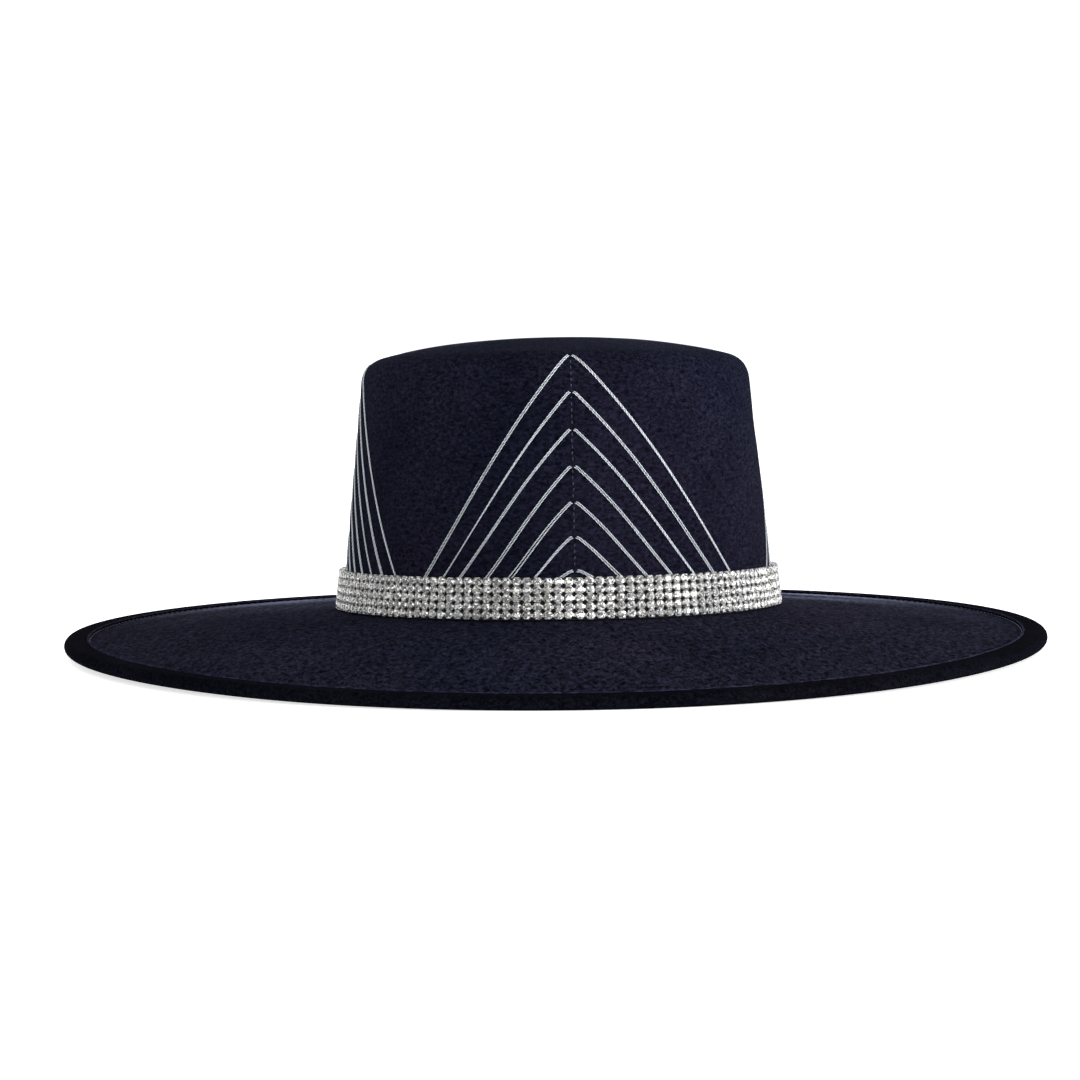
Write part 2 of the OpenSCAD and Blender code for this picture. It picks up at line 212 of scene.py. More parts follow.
def add_mesh(name, verts, faces, material, replaces=(), slot=None, smooth=True, uv=None, tone=None):
    """A piece that rides on the hat. uv is per vertex, in metres, and tone is a value per face."""
    mesh = bpy.data.meshes.new(name)
    mesh.from_pydata(np.asarray(verts, float).reshape(-1, 3).tolist(), [], faces)
    mesh.update()
    if uv is not None:
        layer = mesh.uv_layers.new(name="UVMap")
        loops = np.empty(len(mesh.loops), int)
        mesh.loops.foreach_get("vertex_index", loops)
        spots = np.asarray(uv, float)[loops]
        starts = np.cumsum([0] + [len(f) for f in faces[:-1]])
        owner = np.repeat(np.arange(len(faces)), [len(f) for f in faces])
        low = np.minimum.reduceat(spots[:, 0], starts)[owner]
        high = np.maximum.reduceat(spots[:, 0], starts)[owner]
        spots[(high - low > RUN / 2) & (spots[:, 0] < 0), 0] += 2 * float(np.abs(uv[:, 0]).max())
        layer.data.foreach_set("uv", spots.ravel())
    if tone is not None:
        attribute = mesh.attributes.new("tone", "FLOAT_COLOR", "FACE")
        rgba = np.concatenate([np.asarray(tone, float), np.ones((len(tone), 1))], 1)
        attribute.data.foreach_set("color", rgba.ravel())
    mesh.polygons.foreach_set("use_smooth", [smooth] * len(mesh.polygons))
    mesh.materials.append(material)
    obj = bpy.data.objects.new(name, mesh)
    bpy.context.scene.collection.objects.link(obj)
    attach(obj, "root")
    if replaces:
        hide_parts(*replaces)
    return obj


def grid_faces(rows, cols, close_rows=False):
    """Quads of a grid whose columns close on themselves."""
    faces = []
    for i in range(rows if close_rows else rows - 1):
        k = (i + 1) % rows
        for j in range(cols):
            n = (j + 1) % cols
            faces.append((i * cols + j, i * cols + n, k * cols + n, k * cols + j))
    return faces


def round_the_hat(n):
    """n angles at even steps round the crown, with the distance round at each."""
    s = (np.arange(n) / n - 0.5) * RUN
    return turned_to(s), s


def crown_rings(t, offset):
    """Rings of a crown layer at a distance into the crown, from its foot to the middle of the top."""
    rings, far = [], []
    for (d, z), n, m in zip(OUTLINE, INTO, MILES):
        n = np.array([1.0, 0]) if m == 0 else n
        x, y = oval(t, -(d + n[0] * offset))
        rings.append(np.stack([x, y, np.full_like(x, BASE + PLY + z + n[1] * offset)], -1))
        far.append(m)
    x, y = oval(t, -FLAT_D)
    for f in (0.8, 0.6, 0.4, 0.2, 0.02):
        rings.append(np.stack([x * f, y * f, np.full_like(x, BASE + PLY + CROWN_H - offset)], -1))
        far.append(MILES[-1] + (1 - f) * 0.02)
    return np.array(rings), np.array(far)


def crown_layer(name, out, into, material, n=256, rough=0.0, **more):
    """A shell of the crown between two distances in from its outside."""
    t, s = round_the_hat(n)
    a, far = crown_rings(t, out)
    b, _ = crown_rings(t, into)
    if rough:
        x, y, z = a[..., 0], a[..., 1], a[..., 2]
        way_round = np.broadcast_to(s, x.shape)
        swell = wave(way_round, z, 0.05, seed=5) + 0.5 * wave(way_round, z * 1.5, 0.018, seed=6)
        fade = np.clip((z - BASE - BAND_TOP) / FADE_W, 0, 1)
        grow = 1 + swell * rough * fade / np.hypot(x, y).clip(0.02)
        a[..., 0], a[..., 1] = x * grow, y * grow
        on_top = np.clip((far[:, None] - SHOULDER) / FADE_W, 0, 1)
        a[..., 2] += TOP_WAVE * wave(x, y, 0.06, seed=8) * on_top
    rings = np.concatenate([a, b[::-1]])
    verts = lean_back(rings).reshape(-1, 3)
    around = np.broadcast_to(s, (len(rings), n))
    along = np.broadcast_to(np.concatenate([far, far[::-1]])[:, None], (len(rings), n))
    uv = np.stack([around, along], -1).reshape(-1, 2)
    faces = grid_faces(len(rings), n, close_rows=True)
    middle = len(a) - 1
    cap = slice(middle * n, (middle + 1) * n)
    faces = faces[:cap.start] + faces[cap.stop:]
    faces.append(tuple(range(cap.start, cap.stop)))
    faces.append(tuple(range((middle + 2) * n - 1, (middle + 1) * n - 1, -1)))
    return add_mesh(name, verts, faces, material, uv=uv, **more)


def brim_ring(name, section, material, n=512, place=brim_surface, **more):
    """A closed section of (distance out, height over the brim) swept round the brim."""
    t, s = round_the_hat(n)
    rings = np.array([place(t, np.full(n, d), h) for d, h in section])
    miles = np.concatenate([[0], np.cumsum(np.hypot(*np.diff(np.array(section), axis=0).T))])
    around = np.stack([s * (1 + d / CROWN_B) for d, _ in section])
    uv = np.stack([around, np.broadcast_to(miles[:, None], around.shape)], -1)
    faces = [f[::-1] for f in grid_faces(len(section), n, close_rows=True)]
    return add_mesh(name, rings.reshape(-1, 3), faces, material, uv=uv.reshape(-1, 2), **more)


def spread(part, places):
    """Copies a small part, (verts, faces), to many (point, x axis, y axis, z axis) places."""
    verts, faces = part
    v = np.asarray(verts, float)
    all_verts = [p + v[:, :1] * a + v[:, 1:2] * b + v[:, 2:] * c for p, a, b, c in places]
    n = len(v)
    all_faces = [tuple(i + k * n for i in f) for k in range(len(places)) for f in faces]
    return np.concatenate(all_verts), all_faces


# ---------------------------------------------------------------- materials


def material(name, base, roughness=0.6, **sockets):
    """A Principled material, with constant values on the shader's own sockets."""
    mat = bpy.data.materials.new(name)
    mat.use_nodes = True
    shader = mat.node_tree.nodes["Principled BSDF"]
    shader.inputs["Base Color"].default_value = (*base, 1)
    shader.inputs["Roughness"].default_value = roughness
    for key, value in sockets.items():
        socket = shader.inputs[key.replace("_", " ").title().replace("Ior", "IOR")]
        socket.default_value = (*value, 1) if isinstance(value, tuple) else value
    return mat, mat.node_tree.nodes, mat.node_tree.links, shader


def noise(nodes, links, where, scale, detail=3.0, rough=0.6, stretch=(1, 1, 1), distortion=0.0):
    """A noise texture over the given coordinates, stretched along its axes."""
    mapping = nodes.new("ShaderNodeMapping")
    mapping.inputs["Scale"].default_value = stretch
    links.new(where, mapping.inputs["Vector"])
    tex = nodes.new("ShaderNodeTexNoise")
    tex.inputs["Scale"].default_value = scale
    tex.inputs["Detail"].default_value = detail
    tex.inputs["Roughness"].default_value = rough
    tex.inputs["Distortion"].default_value = distortion
    links.new(mapping.outputs["Vector"], tex.inputs["Vector"])
    return tex.outputs["Fac"]


def ramp(nodes, links, value, stops):
    """A colour ramp of (position, colour) stops."""
    node = nodes.new("ShaderNodeValToRGB")
    elements = node.color_ramp.elements
    while len(elements) < len(stops):
        elements.new(0.5)
    for element, (at, colour) in zip(elements, stops):
        element.position = at
        element.color = (*colour, 1)
    links.new(value, node.inputs["Fac"])
    return node.outputs["Color"]


def mix(nodes, links, kind, factor, a, b):
    node = nodes.new("ShaderNodeMix")
    node.data_type = "RGBA"
    node.blend_type = kind
    if isinstance(factor, float):
        node.inputs["Factor"].default_value = factor
    else:
        links.new(factor, node.inputs["Factor"])
    links.new(a, node.inputs[6])
    links.new(b, node.inputs[7])
    return node.outputs[2]


def bump(nodes, links, height, depth, strength, before=None):
    node = nodes.new("ShaderNodeBump")
    node.inputs["Strength"].default_value = strength
    node.inputs["Distance"].default_value = depth
    links.new(height, node.inputs["Height"])
    if before:
        links.new(before, node.inputs["Normal"])
    return node.outputs["Normal"]


def shade(colour, k):
    return tuple(c * k for c in colour)


GRAZE_POWER = 70.0                               # how close to edge-on the painted grazing sheen begins to show
LINT = (0.12, 0.12, 0.14)
GRAZING_SHEEN = (0.10, 0.11, 0.16)                    # colour of the painted sheen, added where the cloth is seen nearly edge-on


def suede(name, base, grain=(1, 1), grain_scale=400.0, depth=0.5, sheen=0.004, contrast=1.0, rim=0.5,
          lint=True, laid="UV"):
    """Short-napped suede: worm-like wrinkles, nap that catches light unevenly, a few specks of lint and a
    painted sheen where the cloth is seen edge-on.

    grain stretches the wrinkles, rim is how strong the painted sheen is at a grazing angle, and laid names
    the coordinates that the wrinkles lie in.
    """
    mat, nodes, links, shader = material(
        name, base, roughness=0.92, specular_ior_level=0.001, sheen_weight=sheen, sheen_roughness=0.38,
        sheen_tint=(0.62, 0.74, 1.0))
    coords = nodes.new("ShaderNodeTexCoord")
    solid, flat = coords.outputs["Object"], coords.outputs[laid]
    worms = noise(nodes, links, flat, grain_scale, 2.5, 0.55, (*grain, 1), distortion=0.9)
    fine = noise(nodes, links, flat, grain_scale * 3.2, 3.0, 0.65, (*grain, 1))
    patch = noise(nodes, links, solid, 24.0, 3.0, 0.6)
    hue = noise(nodes, links, solid, 13.0, 2.0, 0.5)
    fuzz = noise(nodes, links, solid, 3200.0, 2.0, 0.6)
    lo, hi = 1 - 0.62 * contrast, 1 + 0.9 * contrast
    tone = ramp(nodes, links, worms, [(0.34, shade(base, lo)), (0.5, base), (0.68, shade(base, hi))])
    speckle = ramp(nodes, links, fine, [(0.3, (0.62, 0.62, 0.64)), (0.7, (1.4, 1.4, 1.4))])
    cloud = ramp(nodes, links, patch, [(0.3, (0.78, 0.78, 0.8)), (0.7, (1.2, 1.2, 1.2))])
    drift = ramp(nodes, links, hue, [(0.35, (0.92, 1.01, 1.05)), (0.65, (1.09, 0.99, 0.98))])
    colour = mix(nodes, links, "MULTIPLY", 0.7, tone, speckle)
    colour = mix(nodes, links, "MULTIPLY", 1.0, colour, cloud)
    colour = mix(nodes, links, "MULTIPLY", 1.0, colour, drift)
    if lint:
        speck = nodes.new("ShaderNodeTexVoronoi")
        speck.inputs["Scale"].default_value = 90.0
        links.new(solid, speck.inputs["Vector"])
        spot = ramp(nodes, links, speck.outputs["Distance"], [(0.0, (0.6, 0.6, 0.6)), (0.04, (0, 0, 0))])
        few = noise(nodes, links, solid, 55.0, 1.0)
        some = ramp(nodes, links, few, [(0.6, (0, 0, 0)), (0.66, (1, 1, 1))])
        spot = mix(nodes, links, "MULTIPLY", 1.0, spot, some)
        pale = nodes.new("ShaderNodeRGB")
        pale.outputs[0].default_value = (*LINT, 1)
        colour = mix(nodes, links, "MIX", spot, colour, pale.outputs[0])
    # painted sheen: a pale bluish colour mixed in where the cloth is seen nearly edge-on, stronger on the
    # wrinkles' crests
    edge = nodes.new("ShaderNodeLayerWeight")
    edge.inputs["Blend"].default_value = 0.5
    graze = nodes.new("ShaderNodeMath")
    graze.operation = "POWER"
    graze.inputs[1].default_value = GRAZE_POWER
    links.new(edge.outputs["Facing"], graze.inputs[0])
    sheen_on_crests = ramp(nodes, links, worms, [(0.36, shade(GRAZING_SHEEN, rim * 0.25)),
                                        (0.5, shade(GRAZING_SHEEN, rim * 0.8)),
                                        (0.66, shade(GRAZING_SHEEN, rim * 2.0))])
    tips = mix(nodes, links, "MULTIPLY", 0.6, sheen_on_crests, speckle)
    with_painted_sheen = mix(nodes, links, "ADD", 1.0, colour, tips)
    colour = mix(nodes, links, "MIX", graze.outputs[0], colour, with_painted_sheen)
    links.new(colour, shader.inputs["Base Color"])
    normal = bump(nodes, links, worms, 0.5 * MM, depth)
    normal = bump(nodes, links, fine, 0.2 * MM, depth * 0.8, normal)
    normal = bump(nodes, links, fuzz, 0.1 * MM, 0.4, normal)
    links.new(normal, shader.inputs["Normal"])
    return mat


def woven(name, base, thread=1400.0, roughness=0.7, sheen=0.2):
    """A plain weave of fine threads over the piece's own flat coordinates."""
    mat, nodes, links, shader = material(name, base, roughness=roughness, sheen_weight=sheen,
                                         specular_ior_level=0.3)
    flat = nodes.new("ShaderNodeTexCoord").outputs["UV"]
    ways = []
    for axis in ("X", "Y"):
        tex = nodes.new("ShaderNodeTexWave")
        tex.bands_direction = axis
        tex.inputs["Scale"].default_value = thread
        tex.inputs["Distortion"].default_value = 0.4
        links.new(flat, tex.inputs["Vector"])
        ways.append(tex.outputs["Fac"])
    over = nodes.new("ShaderNodeMath")
    over.operation = "MAXIMUM"
    links.new(ways[0], over.inputs[0])
    links.new(ways[1], over.inputs[1])
    blotch = noise(nodes, links, flat, 300.0)
    a = ramp(nodes, links, over.outputs[0], [(0.2, shade(base, 0.5)), (0.9, shade(base, 1.2))])
    b = ramp(nodes, links, blotch, [(0.3, (0.8, 0.8, 0.8)), (0.7, (1.1, 1.1, 1.1))])
    links.new(mix(nodes, links, "MULTIPLY", 1.0, a, b), shader.inputs["Base Color"])
    links.new(bump(nodes, links, over.outputs[0], 0.1 * MM, 0.5), shader.inputs["Normal"])
    return mat


def leather(name, base):
    mat, nodes, links, shader = material(name, base, roughness=0.5, specular_ior_level=0.4)
    solid = nodes.new("ShaderNodeTexCoord").outputs["Object"]
    cells = nodes.new("ShaderNodeTexVoronoi")
    cells.feature = "DISTANCE_TO_EDGE"
    cells.inputs["Scale"].default_value = 900.0
    links.new(solid, cells.inputs["Vector"])
    wear = noise(nodes, links, solid, 45.0, 4.0)
    tone = ramp(nodes, links, wear, [(0.3, shade(base, 0.6)), (0.75, shade(base, 1.9))])
    links.new(tone, shader.inputs["Base Color"])
    gloss = ramp(nodes, links, wear, [(0.3, (0.38,) * 3), (0.7, (0.6,) * 3)])
    links.new(gloss, shader.inputs["Roughness"])
    links.new(bump(nodes, links, cells.outputs["Distance"], 0.15 * MM, 0.5), shader.inputs["Normal"])
    return mat


def metal(name, base, roughness, grain=900.0, dark=0.6):
    mat, nodes, links, shader = material(name, base, roughness=roughness, metallic=1.0)
    solid = nodes.new("ShaderNodeTexCoord").outputs["Object"]
    wear = noise(nodes, links, solid, grain, 3.0)
    links.new(ramp(nodes, links, wear, [(0.3, shade(base, dark)), (0.7, base)]), shader.inputs["Base Color"])
    gloss = ramp(nodes, links, wear, [(0.3, (roughness * 1.4,) * 3), (0.7, (roughness * 0.8,) * 3)])
    links.new(gloss, shader.inputs["Roughness"])
    return mat


def toned(name, roughness, metallic, coat=0.0):
    """A shiny material whose colour, painted glints and shade included, is kept face by face in the mesh,
    with fine uneven polish.
    """
    mat, nodes, links, shader = material(name, (0.7, 0.7, 0.7), roughness=roughness, metallic=metallic,
                                         coat_weight=coat, coat_roughness=0.03)
    tone = nodes.new("ShaderNodeAttribute")
    tone.attribute_name = "tone"
    solid = nodes.new("ShaderNodeTexCoord").outputs["Object"]
    fleck = noise(nodes, links, solid, 1600.0, 2.0)
    cloud = ramp(nodes, links, fleck, [(0.3, (0.75, 0.75, 0.75)), (0.7, (1.1, 1.1, 1.1))])
    links.new(mix(nodes, links, "MULTIPLY", 0.7, tone.outputs["Color"], cloud), shader.inputs["Base Color"])
    links.new(bump(nodes, links, fleck, 0.02 * MM, 0.2), shader.inputs["Normal"])
    return mat


NAVY = (0.0060, 0.0060, 0.0114)
crown_suede = suede("crown_suede", (0.0063, 0.0064, 0.0130), grain=(1.1, 1.9), grain_scale=430.0, depth=0.6,
                    sheen=0.012, rim=2.2)
brim_suede = suede("brim_suede", shade(NAVY, 1.42), grain=(1.55, 0.85), depth=1.0, contrast=1.4, rim=3.3,
                   laid="Object")
under_suede = suede("under_suede", shade(NAVY, 0.9), grain_scale=420.0, lint=False, laid="Object")
hem_suede = suede("hem_suede", (0.0027, 0.0028, 0.0046), grain=(0.8, 1.2), grain_scale=900.0, depth=0.6,
                  sheen=0.001, rim=0.0, laid="Object")
crest_suede = suede("crest_suede", shade(NAVY, 2.6), grain=(0.6, 1.0), grain_scale=500.0, depth=0.6, rim=0.3,
                    laid="Object")
buckram = woven("buckram", (0.42, 0.36, 0.26), thread=500.0)
board = woven("board", (0.32, 0.26, 0.18), thread=260.0)
lining_cloth = woven("lining_cloth", (0.02, 0.02, 0.028), thread=1500.0, roughness=0.38)
ribbon_cloth = woven("ribbon_cloth", (0.006, 0.006, 0.008), thread=1100.0)
sweat_leather = leather("sweat_leather", (0.018, 0.015, 0.014))
dark_thread = woven("dark_thread", (0.02, 0.022, 0.034), thread=2500.0)
steel = metal("steel", (0.5, 0.5, 0.52), 0.35)
setting_metal = metal("setting_metal", (0.8, 0.8, 0.79), 0.34, dark=0.4)
stone_glass = toned("stone_glass", 0.2, 0.14, coat=0.7)
silver_thread = toned("silver_thread", 0.55, 0.35)

# ---------------------------------------------------------------- crown

layer_1 = COVER_T + PLY
layer_2 = layer_1 + STIFF_T + PLY
layer_3 = layer_2 + LINING_T + PLY
crown_layer("crown_suede_cover", 0.0, COVER_T, crown_suede, n=512, rough=SIDE_WAVE,
            replaces=["crown_cover"], slot="suede")
crown_layer("crown_buckram", layer_1, layer_1 + STIFF_T, buckram,
            replaces=["crown_stiffener"], slot="buckram")
crown_layer("crown_lining_cloth", layer_2, layer_2 + LINING_T, lining_cloth,
            replaces=["crown_lining"], slot="lining")


def inside_crown(t, d, h):
    """Point d outside the crown's foot along its leaning wall, h above the brim."""
    x, y = oval(t, d - WALL[0] / WALL[1] * h)
    return lean_back(np.stack([x, y, np.full_like(x, BASE + h)], -1))


def sweatband():
    low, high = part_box("sweatband")
    foot, rim, d = low.z - BASE, high.z - BASE, -layer_3
    section = [(d - SWEAT_T * 0.1, foot + 0.3 * MM), (d, foot + 0.8 * MM)]
    section += [(d, foot + (rim - foot) * k / 10) for k in range(1, 10)]
    section += [(d - 0.1 * MM, rim - 0.15 * MM), (d - SWEAT_T / 2, rim),
                (d - SWEAT_T + 0.1 * MM, rim - 0.15 * MM)]
    section += [(d - SWEAT_T, foot + (rim - foot) * k / 10) for k in range(9, 0, -1)]
    section += [(d - SWEAT_T, foot + 0.8 * MM), (d - SWEAT_T * 0.9, foot + 0.3 * MM),
                (d - SWEAT_T / 2, foot)]
    brim_ring("sweatband_leather", section[::-1], sweat_leather, n=256, place=inside_crown,
              replaces=["sweatband"], slot="sweat_leather")


def stitch(length, width, height, rows=5, sides=6):
    """One raised stitch along x: a rounded bar that dips at both ends."""
    verts, faces = [], []
    for i in range(rows):
        u = i / (rows - 1) * 2 - 1
        swell = math.sqrt(max(0.02, 1 - u * u)) ** 0.7
        for j in range(sides):
            a = 2 * math.pi * j / sides
            verts.append((u * length / 2, math.cos(a) * width / 2 * swell,
                          (math.sin(a) * 0.5 + 0.5) * height * swell))
    for i in range(rows - 1):
        for j in range(sides):
            k = (j + 1) % sides
            faces.append((i * sides + j, (i + 1) * sides + j, (i + 1) * sides + k, i * sides + k))
    faces += [tuple(range(sides)), tuple(range(rows * sides - 1, (rows - 1) * sides - 1, -1))]
    return verts, faces


def sweatband_stitches():
    n, d = round(RUN / STITCH_PITCH), -(layer_3 + SWEAT_T + 0.02 * MM)
    t = turned_to(((np.arange(n) + 0.5) / n - 0.5) * RUN)
    p = inside_crown(t, np.full(n, d), 3.2 * MM)
    places = [(q, np.array([math.cos(a), math.sin(a), 0]), np.array([0, 0, 1.0]),
               np.array([-math.sin(a), math.cos(a), 0])) for q, a in zip(p, t)]
    verts, faces = spread(stitch(2.4 * MM, 0.45 * MM, 0.22 * MM), places)
    add_mesh("sweatband_stitches", verts, faces, dark_thread, replaces=["sweatband_stitching"],
             slot="dark_stitching", uv=verts[:, :2])


sweatband()
sweatband_stitches()

# ---------------------------------------------------------------- brim

HOLE_D = COVER_T + PLY + STIFF_T
OUT_D = HEM_OUT - HEM_T - PLY - WIRE_D - 0.2 * MM


def brim_layer(name, top, thick, mat, n=512, steps=48, **more):
    reach = [-HOLE_D + (OUT_D + HOLE_D) * k / steps for k in range(steps + 1)]
    section = [(d, -top) for d in reach] + [(d, -top - thick) for d in reach[::-1]]
    brim_ring(name, section, mat, n=n, **more)


brim_layer("brim_suede_top", 0.0, BRIM_T, brim_suede, n=768, steps=64,
           replaces=["brim_top_cover"], slot="suede")
brim_layer("brim_board", BRIM_T + PLY, CORE_T, board, n=256, replaces=["brim_core"], slot="board")
brim_layer("brim_suede_under", BRIM_T + PLY + CORE_T + PLY, BRIM_T, under_suede,
           replaces=["brim_underside_cover"], slot="suede")


def hem_place(t, d, h):
    """As brim_surface, with the small puckers that the stitches pull into the inner edge of the strip."""
    inner = np.clip((HEM_OUT - d) / HEM_W, 0, 1) ** 3
    s = t * (R_END + HEM_OUT)
    pucker = 0.07 * MM * np.sin(s / STITCH_PITCH * 2 * math.pi) + 0.10 * MM * wave(s, 0 * s, 0.03, seed=21)
    p = brim_surface(t, d, h)
    p[..., 2] += pucker * inner * np.sign(h + EDGE_TOP / 2)
    return p


def hem():
    """The strip folded round the edge, as a closed section round a slot for the brim layers."""
    top, low, mid = HEM_H - EDGE_TOP, -EDGE_TOP, HEM_H / 2 - EDGE_TOP
    inner, out, r = HEM_OUT - HEM_W, HEM_OUT, HEM_H / 2
    round_out = [(out - r + r * math.cos(a), mid + r * math.sin(a))
                 for a in np.linspace(math.pi / 2, -math.pi / 2, 15)]
    ri = r - HEM_T
    round_in = [(out - r + ri * math.cos(a), mid + ri * math.sin(a))
                for a in np.linspace(-math.pi / 2, math.pi / 2, 9)]
    over = [(inner + 0.02 * MM, top - HEM_T * 0.75), (inner + 0.12 * MM, top - HEM_T * 0.4),
            (inner + 0.45 * MM, top - 0.12 * MM), (inner + 1.2 * MM, top - 0.02 * MM), (inner + 3 * MM, top),
            (inner + 5 * MM, top)]
    under = [(x, low + (top - z)) for x, z in over[::-1]]
    section = over + round_out + under
    section += [(inner, low + HEM_T), (inner + 3 * MM, low + HEM_T)] + round_in
    section += [(inner + 3 * MM, top - HEM_T), (inner, top - HEM_T)]
    brim_ring("brim_hem_strip", section, hem_suede, n=1536, place=hem_place,
              replaces=["brim_hem_binding"], slot="binding")


def hem_crest():
    """The cut edge of the strip: a thin rounded ridge along the groove in a paler suede, which shows as a
    thin lighter line.
    """
    c, top = HEM_OUT - HEM_W + 0.35 * MM, HEM_H - EDGE_TOP
    section = [(c + 0.45 * MM * math.cos(a), top - 0.1 * MM + 0.42 * MM * math.sin(a))
               for a in np.linspace(math.pi * 1.1, -math.pi * 0.1, 9)]
    brim_ring("brim_hem_crest", section, crest_suede, n=1536, place=hem_place, slot="binding")


def edge_wire():
    c, mid = HEM_OUT - HEM_T - PLY - WIRE_D / 2, HEM_H / 2 - EDGE_TOP
    section = [(c + WIRE_D / 2 * math.cos(a), mid + WIRE_D / 2 * math.sin(a))
               for a in np.linspace(2 * math.pi, 0, 12, endpoint=False)]
    brim_ring("brim_wire", section, steel, n=256, replaces=["brim_edge_wire"], slot="wire")


def hem_stitches():
    """Stitches in the groove at the inner edge of the strip."""
    d = HEM_OUT - HEM_W - 0.3 * MM
    n = round((RUN + 2 * math.pi * d) / STITCH_PITCH)
    t = np.interp((np.arange(n) + 0.5) / n, *outer_turns(d))
    p, q = brim_surface(t, d, 0.02 * MM), brim_surface(t + 1e-3, d, 0.02 * MM)
    places = []
    for a, b in zip(p, q):
        along = (b - a) / np.linalg.norm(b - a)
        side = np.cross([0, 0, 1.0], along)
        places.append((a, along, side, np.cross(along, side)))
    verts, faces = spread(stitch(2.6 * MM, 0.5 * MM, 0.2 * MM), places)
    add_mesh("brim_hem_stitches", verts, faces, dark_thread, replaces=["brim_hem_stitching"],
             slot="dark_stitching", uv=verts[:, :2])


def outer_turns(d, n=2001):
    """Share of the way round, and the angle there, on the oval d outside the crown's foot."""
    t = np.linspace(-math.pi, math.pi, n)
    x, y = oval(t, d)
    run = np.concatenate([[0], np.cumsum(np.hypot(np.diff(x), np.diff(y)))])
    return run / run[-1], t


hem()
hem_crest()
edge_wire()
hem_stitches()

# ---------------------------------------------------------------- hatband

COLUMNS = 2 * math.floor(RUN / (CUP_D + COL_GAP) / 2)
ROW_PITCH = CUP_D + ROW_GAP
BAND_FOOT = band_low.z - BASE - PLY
RIBBON_OUT = PLY + RIBBON_T


def ribbon():
    section = [(RIBBON_OUT, BAND_FOOT), (RIBBON_OUT + 0.05 * MM, BAND_FOOT + 0.5 * MM)]
    section += [(RIBBON_OUT, BAND_FOOT + (BAND_TOP - BAND_FOOT) * k / 8) for k in range(1, 8)]
    section += [(RIBBON_OUT + 0.05 * MM, BAND_TOP - 0.5 * MM), (RIBBON_OUT, BAND_TOP)]
    section += [(PLY, BAND_TOP), (PLY, BAND_FOOT)]
    brim_ring("hatband_carrier", section, ribbon_cloth, n=512, place=inside_crown,
              replaces=["hatband_ribbon"], slot="ribbon")


def cup(sides=20):
    """A drawn metal cup with a claw towards each neighbour and a link to the next cup along the row."""
    r, wall = CUP_D / 2, CUP_T
    levels = [(0.0, 0.0), (r * 0.8, 0.0), (r * 0.97, 0.12 * MM), (r, 0.5 * MM), (r, CUP_H * 0.86),
              (r - wall * 0.4, CUP_H * 0.92), (r - wall * 0.8, CUP_H * 0.84), (r - wall, CUP_H * 0.5)]
    verts = [(0, 0, 0)]
    for radius, z in levels[1:]:
        verts += [(radius * math.cos(a), radius * math.sin(a), z)
                  for a in np.linspace(0, 2 * math.pi, sides, endpoint=False)]
    faces = [(0, 1 + (j + 1) % sides, 1 + j) for j in range(sides)]
    for i in range(len(levels) - 2):
        for j in range(sides):
            a, b = 1 + i * sides + j, 1 + i * sides + (j + 1) % sides
            faces.append((a, b, b + sides, a + sides))
    # claws as rows of (reach, height, half width): beside to the next column, above to the next row
    beside = ((r + COL_GAP * 0.45, CUP_H * 0.62, 0.62 * MM), (r + COL_GAP * 0.3, CUP_H * 1.05, 0.6 * MM),
              (r * 0.95, CUP_H * 1.24, 0.45 * MM), (r * 0.8, CUP_H * 1.2, 0.25 * MM))
    above = ((ROW_PITCH / 2, CUP_H * 0.62, 1.05 * MM), (ROW_PITCH / 2, CUP_H * 1.52, 1.0 * MM),
             (r * 0.9, CUP_H * 1.62, 0.6 * MM), (r * 0.78, CUP_H * 1.58, 0.25 * MM))
    claw = ((-1, 0.9 * MM), (-1, 0.12 * MM), (0, 0), (1, 0.12 * MM), (1, 0.9 * MM))     # (across, drop)
    for q in range(4):
        c, d = (1, 0, -1, 0)[q], (0, 1, 0, -1)[q]
        base = len(verts)
        for reach, z, half in (above if q % 2 else beside):
            verts += [(c * reach - d * e * half, d * reach + c * e * half, z - drop) for e, drop in claw]
        faces += [(base + 5 * i + e, base + 5 * i + e + 1, base + 5 * i + e + 6, base + 5 * i + e + 5)
                  for i in range(3) for e in range(4)]
    out = r + COL_GAP / 2 + 0.05 * MM
    link = ((-0.62 * MM, CUP_H * 0.35), (0.62 * MM, CUP_H * 0.35),
            (0.5 * MM, CUP_H * 0.8), (-0.5 * MM, CUP_H * 0.8))
    base = len(verts)
    for x in (r * 0.9, -r * 0.9, out, -out):
        verts += [(x, y, z) for y, z in link]
    for k, flip in ((0, 1), (4, -1)):
        for e in range(4):
            f = (base + k + e, base + k + (e + 1) % 4, base + k + 8 + (e + 1) % 4, base + k + 8 + e)
            faces.append(f[::-1] if flip > 0 else f)
    return verts, faces


STONE_WIDE, STONE_TALL = 1.74 * MM, ROW_PITCH / 2     # half sizes of a stone along the row and across it


